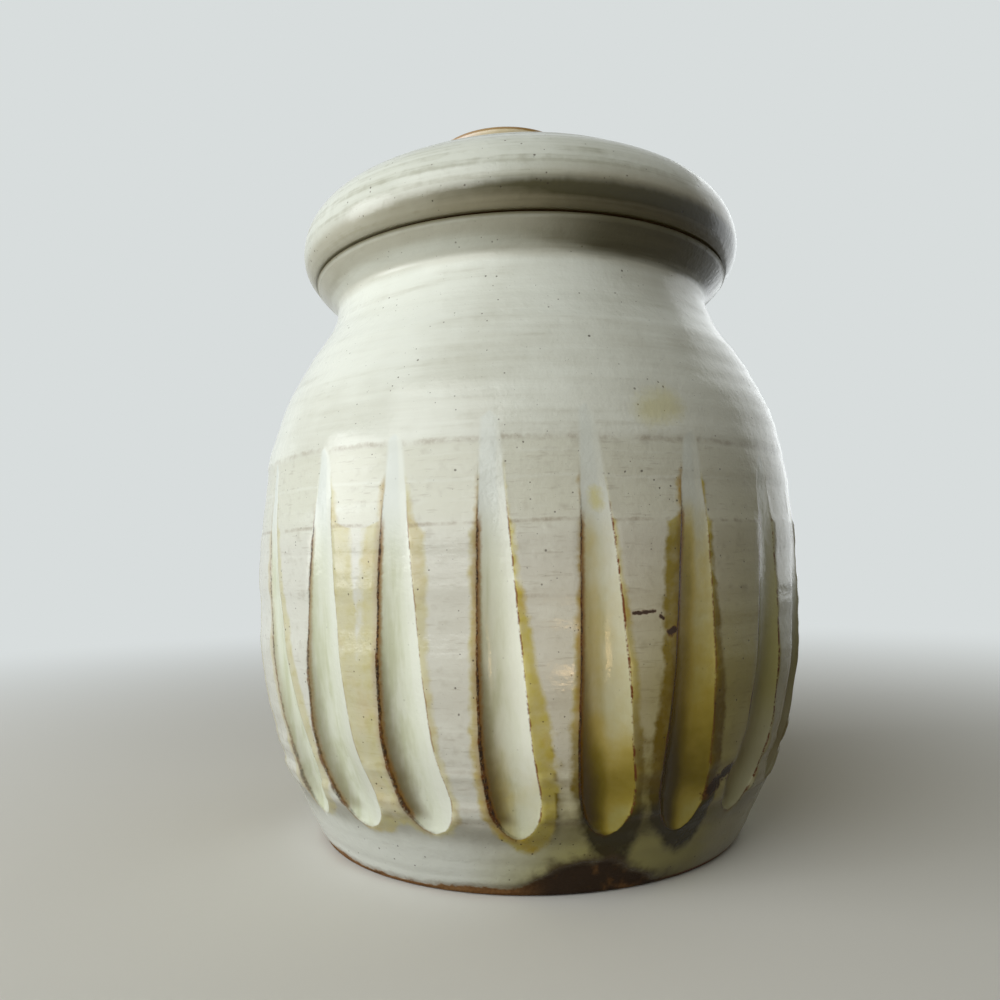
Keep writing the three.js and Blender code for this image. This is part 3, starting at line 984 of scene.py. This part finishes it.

    # Painted shade in the neck crease and on the collar under the lid; glaze thin on the rim, whole inside,
    # and bare clay on the foot and the seat
    shadeToRight = (bearing + (cloud - 0.5) * 14).fade(-5, 24) * bearing.fade(100, 70)  # painted shade, darker towards the right, away from the lamps
    # painted shade in the neck crease under the collar
    creaseShade = abs(height - jar["creaseHeight"]).fade(2.2, 0.4)
    skin = blend(creaseShade * 0.3, skin, stoneware["under"])
    # The collar's rim under the lid is painted dark: painted shade under the lid's edge, and thin glaze on
    # the rim.
    rim = height.fade(jar["height"] - 1.4, jar["height"] - 0.3) * 0.85 * (1 - inside)
    shadeDepth = (shadeToRight * 0.9 + (streak - 0.5) * 0.5).most(rim)
    collarShade = blend(shadeDepth, stoneware["under"], stoneware["underShadeDark"])
    flare = (height + (streak - 0.5) * 2 + shadeToRight * 1.8).fade(jar["flareFrom"], jar["flareTo"])
    skin = blend(flare * (shadeToRight * 0.4 + 0.55).most(rim * 1.15), skin, collarShade)
    lining = blend((cloud * 0.6 + streak * 0.4).fade(0.4, 0.7), jarColours["inside"], stoneware["thin"])
    skin = blend(inside, skin, lining)
    scorch = (bearing + (cloud - 0.5) * 12).fade(-9, 6) * (bearing + (mid - 0.5) * 8).fade(40, 27)
    scorch = scorch * (1 - inside)
    lip = bare + (mid - 0.5) * 1.6 + (fine - 0.5) * 0.7 + (drift - 0.5) * scorch * 5
    skin = blend(lip.fade(-1.3, 0.3) * 0.55 * (1 - inside), skin, jarColours["ledge"])
    skin = blend((lip + (mid - 0.5) * 3).fade(-3.4, 0.4) * scorch * 0.9, skin, jarColours["scorched"])
    bareClay = (lip / (scorch * 2 + 1)).fade(-0.25, 0.35)
    clay = clayTone(drift, fine)
    clay = blend(scorch * (cloud * 0.5 + mid * 0.5).fade(0.3, 0.5), clay, stoneware["clayDark"])
    skin = blend(bareClay, skin, clay)

    rough = stoneware["roughness"] + (fine - 0.5) * 0.1 + (mid - 0.5) * 0.06 + edges * 0.15
    rough = rough + bareClay.most(rim) * (stoneware["clayRoughness"] - stoneware["roughness"])
    turned = streak * 0.05 * onLand.most(height.fade(68, 73))
    relief = mid * 0.08 + fine * 0.035 + turned - spots * 0.02 + bareClay * fine * 0.1
    piece.data.materials.append(finishGlaze(made, shader, skin, rough, relief))


def glazeLid(piece):
    made, shader, place = newGlaze("lidGlaze")
    parts = place.node("ShaderNodeSeparateXYZ", {}, {0: place})
    height = parts.also(2)
    across = parts.also(1)
    square = parts * parts + across * across
    radius = square.math("SQRT", square)
    bare = mark(place, "bare")
    cloud = grain(place, 20, 3, offset=11)
    drift = grain(place, 8, 3, offset=13)
    mid = grain(place, 2.2, 2, offset=17)
    fine = grain(place, 0.7, 2, offset=19)
    turned = radius.node("ShaderNodeCombineXYZ", {}, {0: radius, 1: height, 2: cloud * 8})
    ring = grain(turned, 1.5, 3, (1, 1, 0.4))
    skin = blend((cloud * 0.6 + ring * 0.4).fade(0.4, 0.68), lidColours["thick"], lidColours["thin"])
    skin = blend((ring * 0.7 + mid * 0.3).fade(0.5, 0.68) * 0.45, skin, lidColours["shade"])
    # Painted shade under the lid's edge, reaching lower and darker towards the right, away from the lamps
    towardsRight = (parts + (cloud - 0.5) * 24).fade(-40, 6)
    shadeToRight = (parts + (cloud - 0.5) * 8).fade(-8, 18) * across.fade(20, -10)
    edge = height - lid["seat"] - lid["shadeRise"] - towardsRight * 1.3
    edge = edge + (cloud - 0.5) * 0.8 + (mid - 0.5) * 0.6
    # painted shade along the lower edge of the dome
    skin = blend((edge - shadeToRight * 0.9).fade(3.5, -0.5) * (shadeToRight * 0.4 + 0.25), skin, stoneware["under"])
    # the underside in painted shade
    under = (edge - shadeToRight * 0.3).fade(1.1, -1.1) * radius.fade(lid["underFrom"], lid["underTo"])
    under = under * (towardsRight * 0.5 + 0.5)
    shadeAndBrowning = edge.fade(-3.8, -0.4) * 0.95 + 0.12  # painted shade, darkest just under the edge, where the glaze also browns thin
    shadeAndBrowning = shadeAndBrowning + shadeToRight * 0.55 + (ring - 0.5) * 0.8
    skin = blend(under, skin, blend(shadeAndBrowning * towardsRight, stoneware["under"], stoneware["underShadeDark"]))
    rimSpots = 0.1 + abs(edge + 0.3).fade(1.6, 0.2) * radius.fade(44, 46) * 0.5
    spots = specks(place, 2.3, 0.34, 0.42, fine).most(specks(place, 1.0, 0.24, rimSpots, fine))
    skin = blend(spots * (0.3 + drift * 0.8), skin, stoneware["speck"])
    bareClay = (bare + (mid - 0.5) * 0.8).fade(-0.15, 0.25)
    clay = clayTone(drift, fine)
    skin = blend(bareClay, skin, clay)
    rough = stoneware["roughness"] + (fine - 0.5) * 0.1 + (mid - 0.5) * 0.06
    rough = rough + bareClay * (stoneware["clayRoughness"] - stoneware["roughness"])
    relief = mid * 0.08 + fine * 0.035 + ring * 0.05 - spots * 0.02 + bareClay * fine * 0.1
    piece.data.materials.append(finishGlaze(made, shader, skin, rough, relief))


def glazeKnob(piece):
    made, shader, place = newGlaze("knobGlaze")
    worn = mark(place, "worn")
    cloud = grain(place, 9, 3, offset=23)
    mid = grain(place, 2.0, 2, offset=29)
    fine = grain(place, 0.7, 2, offset=31)
    parts = place.node("ShaderNodeSeparateXYZ", {}, {0: place})
    skin = blend((parts + (cloud - 0.5) * 12).fade(-12, -5), knobColours["blush"], knobColours["cream"])
    browner = (parts + (cloud - 0.5) * 10).fade(-4, 6)
    breaking = (worn * 0.5 + (mid - 0.5) * 0.4 + browner * 0.6).fade(0.5, 0.95)
    skin = blend(breaking, skin, blend(mid.fade(0.4, 0.6), knobColours["amber"], knobColours["honey"]))
    skin = blend((worn + (mid - 0.5) * 0.6).fade(0.3, 0.9) * 0.8, skin, knobColours["amber"])
    spots = specks(place, 2.4, 0.36, 0.35, fine)
    skin = blend(spots * 0.8, skin, stoneware["speck"])
    rough = stoneware["roughness"] + (fine - 0.5) * 0.1 + breaking * 0.12
    relief = mid * 0.06 + fine * 0.025
    piece.data.materials.append(finishGlaze(made, shader, skin, rough, relief))


# Stage: floor, backdrop, lights and camera

stage = {
    "floorSize": 6.0,
    "floorColour": paint(222, 221, 216),
    "bounceColour": paint(100, 84, 46),
    "backdrop": paint(216, 221, 221),
    "fadeFrom": 0.03,
    "fadeTo": 0.5,
    "fill": 0.07,
    "fillColour": (1.0, 0.78, 0.28, 1.0),
}

lights = (  # name, place, aim, width, height, watts, spread in degrees, colour
    ("skyLight", (-0.464, -0.639, 0.389), (0, 0, 0.07), 0.7, 0.7, 5.4, 180, (0.98, 1.0, 0.99)),
    ("windowLight", (-0.593, -0.181, 0.2), (0, 0, 0.07), 0.3, 0.32, 1.9, 180, (0.98, 1.0, 1.0)),
    ("wallLight", (0.5, 0.45, 0.3), (0, 0, 0.07), 0.6, 0.6, 1.2, 180, (0.94, 0.98, 1.0)),
    ("warmGlint", (0.03, -0.15, 0.006), (0.006, -0.056, 0.038), 0.014, 0.03, 0.0013, 44, (1.0, 0.68, 0.34)),
)

shot = {
    "place": (0.0, -0.1834, 0.057),
    "turn": (93.89, 1.104, 1.787),
    "lens": 29.17,
    "sensor": 36,
    "nearest": 0.005,
}


def shownTo(wire):  # 1 for the rays that show the backdrop, 0 for those that only carry light
    rays = wire.node("ShaderNodeLightPath", out="Is Camera Ray")
    return rays.most(rays.also("Is Glossy Ray")).most(rays.also("Is Transmission Ray"))


def emptyTree(owner, end):
    owner.use_nodes = True
    tree = owner.node_tree
    tree.nodes.clear()
    return tree, tree.nodes.new(end)


def layFloor():
    bpy.ops.object.select_all(action="DESELECT")
    bpy.ops.mesh.primitive_plane_add(size=stage["floorSize"], location=(0, 0, 0))
    floor = bpy.context.object
    floor.name = "floor"
    made = bpy.data.materials.new("floorPaint")
    tree, end = emptyTree(made, "ShaderNodeOutputMaterial")
    coords = Wire(tree, tree.nodes.new("ShaderNodeTexCoord").outputs["Object"])
    far = coords.node("ShaderNodeVectorMath", {"operation": "LENGTH"}, {0: coords}, "Value")
    seen = shownTo(coords)
    colour = blend(seen, stage["bounceColour"], stage["floorColour"])
    lit = coords.node("ShaderNodeBsdfDiffuse", {}, {"Color": colour})
    plain = coords.node("ShaderNodeEmission", {}, {"Color": stage["backdrop"], "Strength": 1.0})
    share = far.fade(stage["fadeFrom"], stage["fadeTo"]) * seen
    surface = coords.node("ShaderNodeMixShader", {}, {0: share, 1: lit, 2: plain})
    tree.links.new(surface.socket, end.inputs["Surface"])
    floor.data.materials.append(made)


def lightWorld():
    world = bpy.data.worlds.new("room")
    bpy.context.scene.world = world
    tree, end = emptyTree(world, "ShaderNodeOutputWorld")
    seen = shownTo(Wire(tree, None))
    fill = seen.node("ShaderNodeBackground", {}, {"Color": stage["fillColour"], "Strength": stage["fill"]})
    back = seen.node("ShaderNodeBackground", {}, {"Color": stage["backdrop"], "Strength": 1.0})
    surface = seen.node("ShaderNodeMixShader", {}, {0: seen, 1: fill, 2: back})
    tree.links.new(surface.socket, end.inputs["Surface"])


def hangLights():
    for name, place, aim, width, tall, watts, spread, colour in lights:
        lamp = bpy.data.lights.new(name, "AREA")
        lamp.shape = "RECTANGLE"
        lamp.size = width
        lamp.size_y = tall
        lamp.energy = watts
        lamp.spread = math.radians(spread)
        lamp.color = colour
        hung = bpy.data.objects.new(name, lamp)
        bpy.context.scene.collection.objects.link(hung)
        hung.location = place
        away = Vector(aim) - Vector(place)
        hung.rotation_euler = away.to_track_quat("-Z", "Y").to_euler()
        hung.visible_camera = False


def setCamera():
    lens = bpy.data.cameras.new("camera")
    lens.lens = shot["lens"]
    lens.sensor_width = shot["sensor"]
    lens.clip_start = shot["nearest"]
    camera = bpy.data.objects.new("camera", lens)
    bpy.context.scene.collection.objects.link(camera)
    camera.location = shot["place"]
    camera.rotation_euler = [math.radians(turn) for turn in shot["turn"]]
    bpy.context.scene.camera = camera


setCamera()
glazeJar(makeJar())
glazeLid(makeLid())
glazeKnob(makeKnob())
print("glazes laid")
layFloor()
lightWorld()
hangLights()
print("stage set")
